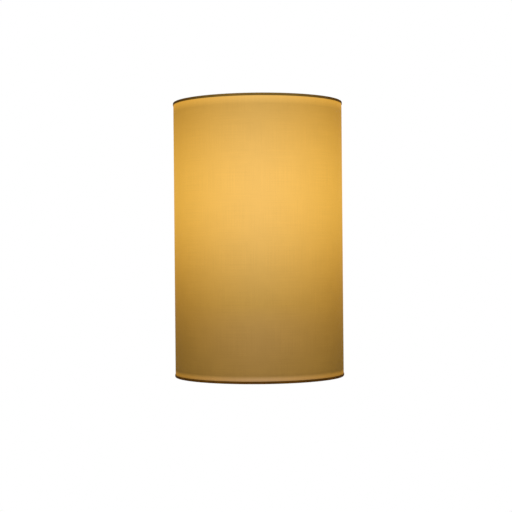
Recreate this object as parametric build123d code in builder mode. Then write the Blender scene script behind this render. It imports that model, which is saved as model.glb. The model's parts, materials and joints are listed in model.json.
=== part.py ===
from build123d import *
import os
from math import pi, radians, sqrt, tan

# Fabric shade wall light: a three-quarter round cloth shade that hangs on a steel back
# plate, with an upright lampholder and a lamp inside. Millimetres, +Z up.
# The wall is the plane Y = 0 and the light stands out from it towards -Y. The origin is
# the middle of the back plate's back face, level with the middle of the shade.

# ---------------------------------------------------------------- driving dimensions
# Shade
shade_radius = 100.0  # outside of the cloth
shade_height = 325.0  # over both bindings
axis_depth = 65.0  # shade axis in front of the wall
wall_gap = 2.0  # between the wall and the back of the shade
corner_radius = 6.0  # outside of the cloth where it turns to the back
cloth_thickness = 0.6
cloth_turn = 8.0  # cloth turned on to the back, past each corner
liner_thickness = 0.4
liner_gap = 0.2  # glue between the cloth and the liner
liner_margin = 5.6  # bare cloth between the binding and the liner
liner_stop = 12.0  # between the back of the shade and the liner's side edges
binding_thickness = 0.5
binding_outer_drop = 3.0  # height of the binding on the outside
binding_inner_drop = 4.6  # height of the binding on the inside
wire_radius = 1.5
wire_clearance = 0.1  # between the frame wires and what wraps them

# Back plate, hooks and cable bushing
plate_width = 110.0
plate_margin = 27.5  # between the ends of the plate and of the shade
plate_thickness = 1.5
plate_corner = 8.0
plate_bend = 1.5  # inside radius of the flange bends
flange_depth = 10.0  # from the plate's front face
flange_length = 190.0
flange_corner = 6.0
wall_slot_spacing = 176.0
wall_slot_width = 5.5
wall_slot_length = 12.0
hook_margin = 17.0  # between the plate's side and the middle of a hook
cross_wire_drop = 47.5  # from the ends of the shade to the cross wires
hook_width = 12.0
hook_thickness = 1.5
hook_bend = 0.8  # inside radius
hook_foot = 14.0
hook_lip = 8.0  # lip height above the seat
hook_seat_clearance = 0.3
bushing_z = 25.0
bushing_bore_radius = 4.5
bushing_wall = 2.6
bushing_rim = 2.0
bushing_rim_thickness = 1.6
bushing_round = 0.7
fit_clearance = 0.05  # radial, for what is pushed or screwed into a hole

# Lamp, with a 27 mm Edison cap
lamp_tip_z = -23.0  # lamp's tip contact
lamp_length = 110.0
globe_radius = 30.0
globe_wall = 1.2
globe_foot_drop = 16.0  # from the globe's centre to its lower edge
cap_length = 27.0
cap_radius = 13.2  # thread crest
cap_wall = 0.5
cap_skirt = 5.0  # height of the insulator below the screw cap
insulator_radius = 5.2
tip_radius = 4.7
tip_height = 1.0
housing_foot_radius = 13.7
housing_wall = 1.6
board_thickness = 1.6
chip_count = 12
chip_size = 3.0
chip_height = 0.8
chip_circle_radius = 15.0
driver_width = 20.0
driver_thickness = 1.2
driver_foot = 14.0  # above the lamp's tip
part_rise = 30.0  # driver components above the board's foot
capacitor_radius = 4.0
capacitor_length = 14.0
choke_width = 9.0
choke_depth = 7.0
choke_height = 8.0

# Lampholder
holder_drop = 33.0  # from the lamp's tip to the underside of the lampholder
holder_radius = 20.0
holder_wall = 3.0
holder_neck_radius = 8.5
holder_neck_height = 9.0
holder_shoulder = 4.0  # rise of the shoulder from the neck to the outside
holder_shoulder_radius = 7.0
holder_neck_round = 2.0
holder_edge_round = 1.0
holder_rim_gap = 1.0  # between the holder's rim and the lamp's housing
holder_lip = 3.0
holder_lip_radius = 15.2
holder_ledge = 1.5  # ledge in the cap that carries the insert
holder_cap_height = 30.0
flute_count = 24
flute_radius = 0.8
flute_height = 14.0
flute_rise = 2.0  # above the joint of cap and shell
insert_floor = 8.0
insert_drop = 3.0  # from the lamp's tip to the insert's floor
insert_wall = 2.2
insert_clearance = 0.2
sleeve_clearance = 0.2  # between the lamp's thread and the sleeve
sleeve_wall = 0.5
sleeve_hole_radius = 9.5
sleeve_top_gap = 1.0
contact_thickness = 0.5
contact_width = 6.0
contact_gap = 0.2  # between the contact and the lamp's tip
contact_end_x = 4.0
contact_foot_x = -8.8
contact_bend = 1.0
terminal_x = 8.5
terminal_width = 7.0
terminal_depth = 6.0
terminal_height = 5.5
terminal_screw_radius = 1.5
terminal_screw_head = 2.0  # stands out of the terminal
terminal_channel = 4.4
rivet_radius = 0.9
centre_rivet_x = -7.2
sleeve_rivet_x = 11.2
nipple_radius = 5.0
nipple_bore_radius = 3.7
nipple_seat = 7.0  # length screwed into the holder's neck
nipple_washer_radius = 9.0
nipple_washer_thickness = 1.0
nipple_nut_flats = 14.0
nipple_nut_height = 3.0
nipple_tail = 1.5  # below the locknut

# Arm
arm_width = 25.0
arm_thickness = 2.0
arm_bend = 2.0  # inside radius
arm_foot_height = 46.0
arm_foot_corner = 5.0
arm_stud_rises = (14.0, 34.0)  # above the arm's top face
hole_clearance = 0.25  # radial, for studs in clearance holes
stud_radius = 2.0
stud_tail = 1.5  # past its nut
nut_flats = 7.0
nut_height = 3.2
washer_radius = 4.5
washer_thickness = 0.8

# Terminal block, three poles side by side
block_margin = 3.0  # between the block and the bend of the flange
block_z = -5.0
block_corner = 1.5
pole_count = 3
pole_pitch = 10.0
block_length = 17.0
block_base_height = 9.0
block_height = 14.0
turret_radius = 3.2
turret_offset = 4.2
pole_height = 4.6  # wire holes above the plate
pole_bore_radius = 2.1
insert_bore_radius = 1.4
insert_inset = 2.0
clamp_screw_radius = 1.25
clamp_screw_sink = 1.5
clamp_slot_width = 0.6
clamp_slot_depth = 0.8
block_stud_radius = 1.5
block_nut_flats = 5.5
block_nut_height = 2.4

# Leads and earth tag
lead_radius = 1.1
conductor_radius = 0.55
conductor_length = 5.0
conductor_clearance = 0.2
lead_entry = 1.5  # insulation inside the terminal block
nipple_lead_x = 1.9
run_share = 0.45  # share of the shorter run that an arc may take
earth_stud_z = -53.0
tag_radius = 4.2
tag_thickness = 0.8
tag_barrel_radius = 1.7
tag_barrel_length = 6.0

# ---------------------------------------------------------------- places worked out
shade_top = shade_height / 2
hook_z = shade_top - cross_wire_drop
frame_inset = cloth_thickness + wire_clearance + wire_radius
pocket_inset = frame_inset + wire_radius + wire_clearance
binding_inset = pocket_inset + binding_thickness
ring_z = shade_top - binding_thickness - wire_clearance - wire_radius
liner_top = shade_top - binding_outer_drop - liner_margin
frame_back_y = -(wall_gap + frame_inset)

plate_front_y = -plate_thickness
plate_height = shade_height - 2 * plate_margin
web_width = plate_width - 2 * (plate_thickness + plate_bend)
hook_x = plate_width / 2 - hook_margin
bushing_radius = bushing_bore_radius + bushing_wall

lamp_housing_z = lamp_tip_z + cap_length
globe_centre_z = lamp_tip_z + lamp_length - globe_radius
globe_foot_z = globe_centre_z - globe_foot_drop
globe_foot_radius = sqrt(globe_radius**2 - globe_foot_drop**2)
globe_bore = globe_radius - globe_wall
board_radius = sqrt(globe_bore**2 - globe_foot_drop**2) - fit_clearance
board_z = globe_foot_z - board_thickness
driver_z = lamp_tip_z + driver_foot
sleeve_radius = cap_radius + sleeve_clearance
sleeve_outside = sleeve_radius + sleeve_wall

holder_z = lamp_tip_z - holder_drop
holder_joint_z = holder_z + holder_cap_height
holder_rim_z = lamp_housing_z - holder_rim_gap
holder_bore = holder_radius - holder_wall
insert_top_z = lamp_tip_z - insert_drop
insert_z = insert_top_z - insert_floor
insert_wall_z = holder_rim_z - holder_lip - insert_clearance
insert_wall_bore = sleeve_outside + fit_clearance
arm_z = holder_z - arm_thickness
nut_z = arm_z - nipple_washer_thickness - nipple_nut_height
nipple_z = nut_z - nipple_tail

pole_y = plate_front_y - pole_height
block_x = block_margin + (pole_count * pole_pitch - web_width) / 2
pole_xs = [block_x + pole_pitch * (i - (pole_count - 1) / 2) for i in range(pole_count)]
earth_x, live_x, neutral_x = pole_xs
block_foot_z = block_z - block_length / 2
tag_y = plate_front_y - washer_thickness
tag_barrel_y = tag_y - tag_barrel_radius
tag_top_z = earth_stud_z + tag_radius + tag_barrel_length

lamp_axis = Axis((0, -axis_depth, 0), (0, 0, 1))
lamp_plane = Plane.XZ.offset(axis_depth)  # local x is the radius and local y the height


def write(piece, name):
    """Labels a finished piece and writes it under its own name."""
    piece.part.label = name
    export_step(piece.part, f"parts/{name}.step")


def on_plate(x, z, height=0.0):
    """Plane in front of the back plate at x and z, facing away from the wall."""
    return Plane(origin=(x, plate_front_y - height, z), x_dir=(1, 0, 0), z_dir=(0, -1, 0))


def at_lamp(z):
    """Level plane at height z, centred on the lamp."""
    return Plane.XY.offset(z).shift_origin((0, -axis_depth, z))


os.makedirs("parts", exist_ok=True)


# ---------------------------------------------------------------- shade
def shade_outline(inset):
    """The shade's D-shaped plan, inset from the outside of the cloth."""
    radius = shade_radius - inset
    back = -(wall_gap + inset)
    half_chord = sqrt(radius**2 - (axis_depth + back) ** 2)
    with BuildSketch(mode=Mode.PRIVATE) as plan:
        with BuildLine():
            ThreePointArc((half_chord, back), (0, -axis_depth - radius), (-half_chord, back))
            Line((-half_chord, back), (half_chord, back))
        make_face()
        fillet(plan.vertices(), corner_radius - inset)
    return plan.sketch


back_half_chord = sqrt(shade_radius**2 - (axis_depth - wall_gap) ** 2)


def turned_wall(outer_inset, inner_inset):
    """Plan of what follows the cloth from one turned back edge round to the other."""
    with BuildSketch(mode=Mode.PRIVATE) as plan:
        add(shade_outline(outer_inset))
        add(shade_outline(inner_inset), mode=Mode.SUBTRACT)
        Rectangle(2 * (back_half_chord - cloth_turn), axis_depth, mode=Mode.SUBTRACT)
    return plan.sketch


cloth_plan = turned_wall(0, cloth_thickness)
with BuildPart() as shade_fabric:
    with BuildSketch(Plane.XY):
        add(cloth_plan)
    extrude(amount=shade_top - binding_thickness, both=True)
write(shade_fabric, "shade_fabric")

liner_outside = shade_outline(cloth_thickness + liner_gap)
liner_inside = shade_outline(cloth_thickness + liner_gap + liner_thickness)
with BuildPart() as shade_liner:
    with BuildSketch(Plane.XY):
        add(liner_outside)
        add(liner_inside, mode=Mode.SUBTRACT)
        Rectangle(2 * shade_radius, 2 * (wall_gap + liner_stop), mode=Mode.SUBTRACT)
    extrude(amount=liner_top, both=True)
write(shade_liner, "shade_liner")

# The binding is an upside-down channel over the ring and the cloth's edge.
binding_plan = turned_wall(-binding_thickness, binding_inset)
pocket_plan = turned_wall(0, pocket_inset)
outside_plan = turned_wall(-binding_thickness, 0)
with BuildPart() as top_binding:
    with BuildSketch(Plane.XY.offset(shade_top - binding_inner_drop)):
        add(binding_plan)
    extrude(amount=binding_inner_drop)
    with BuildSketch(Plane.XY.offset(shade_top - binding_inner_drop)):
        add(pocket_plan)
    extrude(amount=binding_inner_drop - binding_thickness, mode=Mode.SUBTRACT)
    with BuildSketch(Plane.XY.offset(shade_top - binding_inner_drop)):
        add(outside_plan)
    extrude(amount=binding_inner_drop - binding_outer_drop, mode=Mode.SUBTRACT)
write(top_binding, "top_binding")

with BuildPart() as bottom_binding:
    mirror(top_binding.part, about=Plane.XY)
write(bottom_binding, "bottom_binding")

# Frame: a closed ring at each end, two uprights in the corners and two cross wires.
ring_plan = shade_outline(frame_inset)
for ring_name, z in (("top_ring", ring_z), ("bottom_ring", -ring_z)):
    path = ring_plan.wire().moved(Location((0, 0, z)))
    with BuildPart() as ring:
        with BuildSketch(Plane(origin=path @ 0, z_dir=path % 0)):
            Circle(wire_radius)
        sweep(path=path)
    write(ring, ring_name)

corner_arcs = ring_plan.edges().filter_by(GeomType.CIRCLE).sort_by(Edge.length)[:2]
corners = [arc @ 0.5 for arc in corner_arcs.sort_by(Axis.X)]
for upright_name, corner in zip(("left_upright", "right_upright"), corners):
    with BuildPart() as upright:
        with BuildSketch(Plane.XY):
            with Locations((corner.X, corner.Y)):
                Circle(wire_radius)
        extrude(amount=ring_z - wire_radius, both=True)
    write(upright, upright_name)

for wire_name, z in (("upper_cross_wire", hook_z), ("lower_cross_wire", -hook_z)):
    with BuildPart() as cross_wire:
        with BuildSketch(Plane(origin=(0, frame_back_y, z), z_dir=(1, 0, 0))):
            Circle(wire_radius)
        extrude(amount=corners[1].X - wire_radius, both=True)
    write(cross_wire, wire_name)

# ---------------------------------------------------------------- back plate
with BuildPart() as back_plate:
    with BuildSketch(Plane.XZ):
        RectangleRounded(web_width, plate_height, plate_corner)
    extrude(amount=plate_thickness)
    with BuildSketch(Plane.XZ):
        with GridLocations(0, wall_slot_spacing, 1, 2):
            SlotOverall(wall_slot_length, wall_slot_width, rotation=90)
        with Locations((0, bushing_z)):
            Circle(bushing_radius + fit_clearance)
    extrude(amount=plate_thickness, mode=Mode.SUBTRACT)
write(back_plate, "back_plate")

# The plate's two turned sides, from the bend on.
flange_x = (plate_width - plate_thickness) / 2
with BuildPart() as plate_flanges:
    with BuildSketch(Plane.XY):
        with BuildLine():
            FilletPolyline(
                (-flange_x, plate_front_y - flange_depth),
                (-flange_x, plate_front_y / 2),
                (flange_x, plate_front_y / 2),
                (flange_x, plate_front_y - flange_depth),
                radius=plate_bend + plate_thickness / 2,
            )
        trace(line_width=plate_thickness)
        Rectangle(web_width, 2 * plate_thickness, mode=Mode.SUBTRACT)
    extrude(amount=flange_length / 2, both=True)
    fillet(plate_flanges.edges().filter_by(Axis.X).group_by(Axis.Y)[0], flange_corner)
write(plate_flanges, "plate_flanges")

with BuildPart() as cable_bushing:
    with BuildSketch(on_plate(0, bushing_z)):
        Circle(bushing_radius + bushing_rim)
    extrude(amount=bushing_rim_thickness)
    fillet(cable_bushing.faces().sort_by(Axis.Y)[0].edges(), bushing_round)
    with BuildSketch(on_plate(0, bushing_z)):
        Circle(bushing_radius)
    extrude(amount=-plate_thickness)
    with BuildSketch(on_plate(0, bushing_z)):
        Circle(bushing_bore_radius)
    extrude(amount=bushing_rim_thickness + plate_thickness, both=True, mode=Mode.SUBTRACT)
    fillet(cable_bushing.faces().sort_by(Axis.Y)[0].edges().sort_by(Edge.length)[0], bushing_round)
write(cable_bushing, "cable_bushing")

# Each hook is a strip that leaves its welded foot forwards and turns up in a lip. The
# cross wire drops in behind the lip, midway between it and the plate.
hook_seat = -wire_radius - hook_seat_clearance  # from the centre of the cross wire
lip_inside_y = 2 * frame_back_y - plate_front_y
with BuildPart() as shade_hooks:
    for x in (-hook_x, hook_x):
        for z in (-hook_z, hook_z):
            with BuildSketch(Plane(origin=(x, 0, z), x_dir=(0, 1, 0), z_dir=(1, 0, 0))):
                with BuildLine():
                    FilletPolyline(
                        (plate_front_y - hook_thickness / 2, hook_seat - hook_foot),
                        (plate_front_y - hook_thickness / 2, hook_seat - hook_thickness / 2),
                        (lip_inside_y - hook_thickness / 2, hook_seat - hook_thickness / 2),
                        (lip_inside_y - hook_thickness / 2, hook_seat + hook_lip),
                        radius=hook_bend + hook_thickness / 2,
                    )
                trace(line_width=hook_thickness)
            extrude(amount=hook_width / 2, both=True)
write(shade_hooks, "shade_hooks")


# ---------------------------------------------------------------- arm and its fixings
def hexagon(flats, bore_radius):
    """Nut plan with its bore, drawn in the sketch that is open."""
    RegularPolygon(flats / 2, 6, major_radius=False)
    Circle(bore_radius, mode=Mode.SUBTRACT)


arm_studs = [(0, holder_z + rise) for rise in arm_stud_rises]
foot_y = plate_front_y - arm_thickness / 2
shelf_z = holder_z - arm_thickness / 2
with BuildPart() as holder_arm:
    with BuildSketch(Plane.YZ):
        with BuildLine():
            FilletPolyline(
                (foot_y, holder_z + arm_foot_height),
                (foot_y, shelf_z),
                (-axis_depth - arm_width / 2, shelf_z),
                radius=arm_bend + arm_thickness / 2,
            )
        trace(line_width=arm_thickness)
    extrude(amount=arm_width / 2, both=True)
    nose_edges = holder_arm.edges().filter_by(Axis.Z).group_by(Axis.Y)[0]
    fillet(nose_edges, arm_width / 2 - fit_clearance)
    foot_edges = holder_arm.edges().filter_by(Axis.Y).group_by(Axis.Z)[-1]
    fillet(foot_edges, arm_foot_corner)
    with BuildSketch(at_lamp(arm_z)):
        Circle(nipple_radius + hole_clearance)
    extrude(amount=arm_thickness, mode=Mode.SUBTRACT)
    for x, z in arm_studs:
        with BuildSketch(on_plate(x, z)):
            Circle(stud_radius + hole_clearance)
        extrude(amount=arm_thickness, mode=Mode.SUBTRACT)
write(holder_arm, "holder_arm")

arm_clamp = arm_thickness + washer_thickness + nut_height
earth_clamp = washer_thickness + tag_thickness + nut_height
with BuildPart() as plate_studs:
    for x, z in arm_studs:
        with BuildSketch(on_plate(x, z)):
            Circle(stud_radius)
        extrude(amount=arm_clamp + stud_tail)
    with BuildSketch(on_plate(earth_x, earth_stud_z)):
        Circle(stud_radius)
    extrude(amount=earth_clamp + stud_tail)
write(plate_studs, "plate_studs")

with BuildPart() as arm_washers:
    for x, z in arm_studs:
        with BuildSketch(on_plate(x, z, arm_thickness)):
            Circle(washer_radius)
            Circle(stud_radius + hole_clearance, mode=Mode.SUBTRACT)
        extrude(amount=washer_thickness)
write(arm_washers, "arm_washers")

with BuildPart() as arm_nuts:
    for x, z in arm_studs:
        with BuildSketch(on_plate(x, z, arm_thickness + washer_thickness)):
            hexagon(nut_flats, stud_radius + fit_clearance)
        extrude(amount=nut_height)
write(arm_nuts, "arm_nuts")

with BuildPart() as nipple:
    with BuildSketch(at_lamp(nipple_z)):
        Circle(nipple_radius)
        Circle(nipple_bore_radius, mode=Mode.SUBTRACT)
    extrude(amount=holder_z + nipple_seat - nipple_z)
write(nipple, "nipple")

with BuildPart() as nipple_washer:
    with BuildSketch(at_lamp(arm_z)):
        Circle(nipple_washer_radius)
        Circle(nipple_radius + hole_clearance, mode=Mode.SUBTRACT)
    extrude(amount=-nipple_washer_thickness)
write(nipple_washer, "nipple_washer")

with BuildPart() as nipple_locknut:
    with BuildSketch(at_lamp(nut_z)):
        hexagon(nipple_nut_flats, nipple_radius + fit_clearance)
    extrude(amount=nipple_nut_height)
write(nipple_locknut, "nipple_locknut")

# ---------------------------------------------------------------- lampholder
neck_bore = nipple_radius + fit_clearance
shoulder_z = holder_z + holder_neck_height
with BuildPart() as lampholder_cap:
    with BuildSketch(lamp_plane):
        with BuildLine():
            outside = FilletPolyline(
                (neck_bore, holder_z),
                (holder_neck_radius, holder_z),
                (holder_neck_radius, shoulder_z),
                (holder_radius, shoulder_z + holder_shoulder),
                (holder_radius, holder_joint_z),
                radius=(holder_edge_round, holder_neck_round, holder_shoulder_radius),
            )
            inside = FilletPolyline(
                (holder_bore, holder_joint_z),
                (holder_bore, insert_z),
                (holder_bore - holder_ledge, insert_z),
                (holder_bore - holder_ledge, shoulder_z + holder_shoulder + holder_wall),
                (neck_bore, shoulder_z + holder_wall),
                radius=(0, 0, holder_shoulder_radius - holder_wall),
            )
            Line(outside @ 1, inside @ 0)
            Line(inside @ 1, outside @ 0)
        make_face()
    revolve(axis=lamp_axis)
write(lampholder_cap, "lampholder_cap")

with BuildPart() as lampholder_shell:
    with BuildSketch(lamp_plane):
        with BuildLine():
            Polyline(
                (holder_bore, holder_joint_z),
                (holder_radius, holder_joint_z),
                (holder_radius, holder_rim_z),
                (holder_lip_radius, holder_rim_z),
                (holder_lip_radius, holder_rim_z - holder_lip),
                (holder_bore, holder_rim_z - holder_lip),
                close=True,
            )
        make_face()
    revolve(axis=lamp_axis)
    rim_edges = lampholder_shell.faces().sort_by(Axis.Z)[-1].edges()
    fillet(rim_edges.sort_by(Edge.length)[-1], holder_edge_round)
    with BuildSketch(at_lamp(holder_joint_z + flute_rise)):
        with PolarLocations(holder_radius, flute_count):
            Circle(flute_radius)
    extrude(amount=flute_height, mode=Mode.SUBTRACT)
write(lampholder_shell, "lampholder_shell")

# The insert carries the live parts: a floor with two terminal pockets and a wall round
# the thread sleeve. Each pocket has a screwdriver channel to the front.
channel_length = holder_bore
channel_z = insert_z + terminal_height / 2
terminal_xs = (-terminal_x, terminal_x)
rivet_xs = (centre_rivet_x, sleeve_rivet_x)
with BuildPart() as lampholder_insert:
    with BuildSketch(at_lamp(insert_z)):
        Circle(holder_bore - insert_clearance)
    extrude(amount=insert_floor)
    with BuildSketch(at_lamp(insert_top_z)):
        Circle(insert_wall_bore + insert_wall)
        Circle(insert_wall_bore, mode=Mode.SUBTRACT)
    extrude(amount=insert_wall_z - insert_top_z)
    with BuildSketch(at_lamp(insert_z)):
        with GridLocations(2 * terminal_x, 0, 2, 1):
            Rectangle(
                terminal_width + 2 * fit_clearance, terminal_depth + 2 * fit_clearance
            )
        for x in terminal_xs:
            with Locations((x, 0)):
                Rectangle(terminal_channel, channel_length, align=(Align.CENTER, Align.MAX))
    extrude(amount=terminal_height, mode=Mode.SUBTRACT)
    with BuildSketch(at_lamp(insert_z + terminal_height)):
        for x in rivet_xs:
            with Locations((x, 0)):
                Circle(rivet_radius + fit_clearance)
    extrude(amount=insert_floor - terminal_height, mode=Mode.SUBTRACT)
write(lampholder_insert, "lampholder_insert")

with BuildPart() as thread_sleeve:
    with BuildSketch(lamp_plane):
        with BuildLine():
            Polyline(
                (sleeve_hole_radius, insert_top_z),
                (sleeve_outside, insert_top_z),
                (sleeve_outside, insert_wall_z - sleeve_top_gap),
                (sleeve_radius, insert_wall_z - sleeve_top_gap),
                (sleeve_radius, insert_top_z + sleeve_wall),
                (sleeve_hole_radius, insert_top_z + sleeve_wall),
                close=True,
            )
        make_face()
    revolve(axis=lamp_axis)
    with BuildSketch(at_lamp(insert_top_z)):
        with Locations((sleeve_rivet_x, 0)):
            Circle(rivet_radius + fit_clearance)
    extrude(amount=sleeve_wall, mode=Mode.SUBTRACT)
write(thread_sleeve, "thread_sleeve")

# A strip riveted at its foot, with its free end sprung up under the lamp's tip.
contact_high = lamp_tip_z - contact_gap - contact_thickness / 2
contact_low = insert_top_z + contact_thickness / 2
with BuildPart() as centre_contact:
    with BuildSketch(lamp_plane):
        with BuildLine():
            FilletPolyline(
                (contact_foot_x, contact_low),
                (centre_rivet_x + 2 * rivet_radius, contact_low),
                (-contact_end_x / 2, contact_high),
                (contact_end_x, contact_high),
                radius=contact_bend,
            )
        trace(line_width=contact_thickness)
    extrude(amount=contact_width / 2, both=True)
    with BuildSketch(at_lamp(insert_top_z)):
        with Locations((centre_rivet_x, 0)):
            Circle(rivet_radius + fit_clearance)
    extrude(amount=contact_thickness, mode=Mode.SUBTRACT)
write(centre_contact, "centre_contact")

rivet_length = insert_floor - terminal_height + contact_thickness
with BuildPart() as contact_rivets:
    with BuildSketch(at_lamp(insert_z + terminal_height)):
        for x in rivet_xs:
            with Locations((x, 0)):
                Circle(rivet_radius)
    extrude(amount=rivet_length)
write(contact_rivets, "contact_rivets")

with BuildPart() as holder_terminals:
    with BuildSketch(at_lamp(insert_z)):
        with GridLocations(2 * terminal_x, 0, 2, 1):
            Rectangle(terminal_width, terminal_depth)
            Circle(conductor_radius + conductor_clearance, mode=Mode.SUBTRACT)
    extrude(amount=terminal_height)
    for x in terminal_xs:
        with BuildSketch(Plane.XZ.offset(axis_depth)):
            with Locations((x, channel_z)):
                Circle(terminal_screw_radius + fit_clearance)
        extrude(amount=terminal_depth, mode=Mode.SUBTRACT)
write(holder_terminals, "holder_terminals")

screw_start = axis_depth + conductor_radius + fit_clearance
with BuildPart() as terminal_screws:
    with BuildSketch(Plane.XZ.offset(screw_start)):
        with Locations(*[(x, channel_z) for x in terminal_xs]):
            Circle(terminal_screw_radius)
    extrude(amount=terminal_depth / 2 + terminal_screw_head)
write(terminal_screws, "terminal_screws")

# ---------------------------------------------------------------- lamp
with BuildPart() as lamp_globe:
    with BuildSketch(lamp_plane):
        with Locations((0, globe_centre_z)):
            Circle(globe_radius)
            Circle(globe_bore, mode=Mode.SUBTRACT)
        with Locations((0, globe_foot_z)):
            Rectangle(
                globe_radius, 2 * globe_radius, align=(Align.MIN, Align.MIN), mode=Mode.INTERSECT
            )
    revolve(axis=lamp_axis)
write(lamp_globe, "lamp_globe")


def housing_side(inset):
    """Flared side of the lamp's housing from its foot to the globe."""
    return Bezier(
        (housing_foot_radius - inset, lamp_housing_z),
        (housing_foot_radius - inset, lamp_housing_z + globe_foot_drop),
        (globe_foot_radius - inset, globe_foot_z - globe_foot_drop),
        (globe_foot_radius - inset, globe_foot_z),
    )


with BuildPart() as lamp_housing:
    with BuildSketch(lamp_plane):
        with BuildLine():
            side = housing_side(0)
            bore = housing_side(housing_wall)
            Line(side @ 0, bore @ 0)
            Line(side @ 1, bore @ 1)
        make_face()
    revolve(axis=lamp_axis)
    with BuildSketch(at_lamp(board_z)):
        Circle(board_radius + fit_clearance)
    extrude(amount=board_thickness, mode=Mode.SUBTRACT)
write(lamp_housing, "lamp_housing")

with BuildPart() as lamp_led_board:
    with BuildSketch(at_lamp(board_z)):
        Circle(board_radius)
    extrude(amount=board_thickness)
write(lamp_led_board, "lamp_led_board")

with BuildPart() as lamp_led_chips:
    with BuildSketch(at_lamp(globe_foot_z)):
        with PolarLocations(chip_circle_radius, chip_count):
            Rectangle(chip_size, chip_size)
    extrude(amount=chip_height)
write(lamp_led_chips, "lamp_led_chips")

with BuildPart() as lamp_driver_board:
    with BuildSketch(at_lamp(driver_z)):
        Rectangle(driver_width, driver_thickness)
    extrude(amount=board_z - driver_z)
write(lamp_driver_board, "lamp_driver_board")

with BuildPart() as lamp_capacitor:
    with BuildSketch(at_lamp(driver_z + part_rise)):
        with Locations((0, -driver_thickness / 2 - capacitor_radius)):
            Circle(capacitor_radius)
    extrude(amount=capacitor_length)
write(lamp_capacitor, "lamp_capacitor")

with BuildPart() as lamp_choke:
    with BuildSketch(at_lamp(driver_z + part_rise)):
        with Locations((0, driver_thickness / 2)):
            Rectangle(choke_width, choke_depth, align=(Align.CENTER, Align.MIN))
    extrude(amount=choke_height)
write(lamp_choke, "lamp_choke")

with BuildPart() as lamp_screw_cap:
    with BuildSketch(at_lamp(lamp_tip_z + cap_skirt)):
        Circle(cap_radius)
        Circle(cap_radius - cap_wall, mode=Mode.SUBTRACT)
    extrude(amount=cap_length - cap_skirt)
write(lamp_screw_cap, "lamp_screw_cap")

with BuildPart() as lamp_cap_insulator:
    with BuildSketch(lamp_plane):
        with BuildLine():
            Polyline(
                (0, lamp_tip_z + tip_height),
                (insulator_radius, lamp_tip_z + tip_height),
                (cap_radius, lamp_tip_z + cap_skirt),
                (0, lamp_tip_z + cap_skirt),
                close=True,
            )
        make_face()
    revolve(axis=lamp_axis)
write(lamp_cap_insulator, "lamp_cap_insulator")

with BuildPart() as lamp_tip_contact:
    with BuildSketch(at_lamp(lamp_tip_z)):
        Circle(tip_radius)
    extrude(amount=tip_height)
    fillet(lamp_tip_contact.faces().sort_by(Axis.Z)[0].edges(), tip_height / 2)
write(lamp_tip_contact, "lamp_tip_contact")

# ---------------------------------------------------------------- terminal block
fixing_xs = (-pole_pitch / 2, pole_pitch / 2)
with BuildPart() as terminal_block:
    with BuildSketch(on_plate(block_x, block_z)):
        RectangleRounded(pole_count * pole_pitch, block_length, block_corner)
    extrude(amount=block_base_height)
    with BuildSketch(on_plate(block_x, block_z)):
        with GridLocations(pole_pitch, 2 * turret_offset, pole_count, 2):
            Circle(turret_radius)
    extrude(amount=block_height)
    with BuildSketch(on_plate(block_x, block_z, pole_height)):
        with GridLocations(pole_pitch, 2 * turret_offset, pole_count, 2):
            Circle(clamp_screw_radius + fit_clearance)
    extrude(amount=block_height, mode=Mode.SUBTRACT)
    with BuildSketch(on_plate(block_x, block_z)):
        with Locations(*[(x, 0) for x in fixing_xs]):
            Circle(block_stud_radius + hole_clearance)
    extrude(amount=block_base_height, mode=Mode.SUBTRACT)
    with BuildSketch(Plane.XY.offset(block_foot_z)):
        with Locations(*[(x, pole_y) for x in pole_xs]):
            Circle(pole_bore_radius)
    extrude(amount=block_length, mode=Mode.SUBTRACT)
write(terminal_block, "terminal_block")

with BuildPart() as block_inserts:
    with BuildSketch(Plane.XY.offset(block_foot_z + insert_inset)):
        with Locations(*[(x, pole_y) for x in pole_xs]):
            Circle(pole_bore_radius - fit_clearance)
            Circle(insert_bore_radius, mode=Mode.SUBTRACT)
    extrude(amount=block_length - 2 * insert_inset)
    with BuildSketch(on_plate(block_x, block_z, pole_height)):
        with GridLocations(pole_pitch, 2 * turret_offset, pole_count, 2):
            Circle(clamp_screw_radius + fit_clearance)
    extrude(amount=pole_bore_radius, mode=Mode.SUBTRACT)
write(block_inserts, "block_inserts")

screw_foot = pole_height + conductor_radius + fit_clearance
screw_top = block_height - clamp_screw_sink
with BuildPart() as block_clamp_screws:
    with BuildSketch(on_plate(block_x, block_z, screw_foot)):
        with GridLocations(pole_pitch, 2 * turret_offset, pole_count, 2):
            Circle(clamp_screw_radius)
    extrude(amount=screw_top - screw_foot)
    with BuildSketch(on_plate(block_x, block_z, screw_top)):
        with GridLocations(pole_pitch, 2 * turret_offset, pole_count, 2):
            Rectangle(2 * turret_radius, clamp_slot_width)
    extrude(amount=-clamp_slot_depth, mode=Mode.SUBTRACT)
write(block_clamp_screws, "block_clamp_screws")

with BuildPart() as block_studs:
    with BuildSketch(on_plate(block_x, block_z)):
        with Locations(*[(x, 0) for x in fixing_xs]):
            Circle(block_stud_radius)
    extrude(amount=block_base_height + block_nut_height + stud_tail)
write(block_studs, "block_studs")

with BuildPart() as block_nuts:
    with BuildSketch(on_plate(block_x, block_z, block_base_height)):
        with Locations(*[(x, 0) for x in fixing_xs]):
            hexagon(block_nut_flats, block_stud_radius + fit_clearance)
    extrude(amount=block_nut_height)
write(block_nuts, "block_nuts")

# ---------------------------------------------------------------- earth and leads
with BuildPart() as earth_washer:
    with BuildSketch(on_plate(earth_x, earth_stud_z)):
        Circle(washer_radius)
        Circle(stud_radius + hole_clearance, mode=Mode.SUBTRACT)
    extrude(amount=washer_thickness)
write(earth_washer, "earth_washer")

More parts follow.
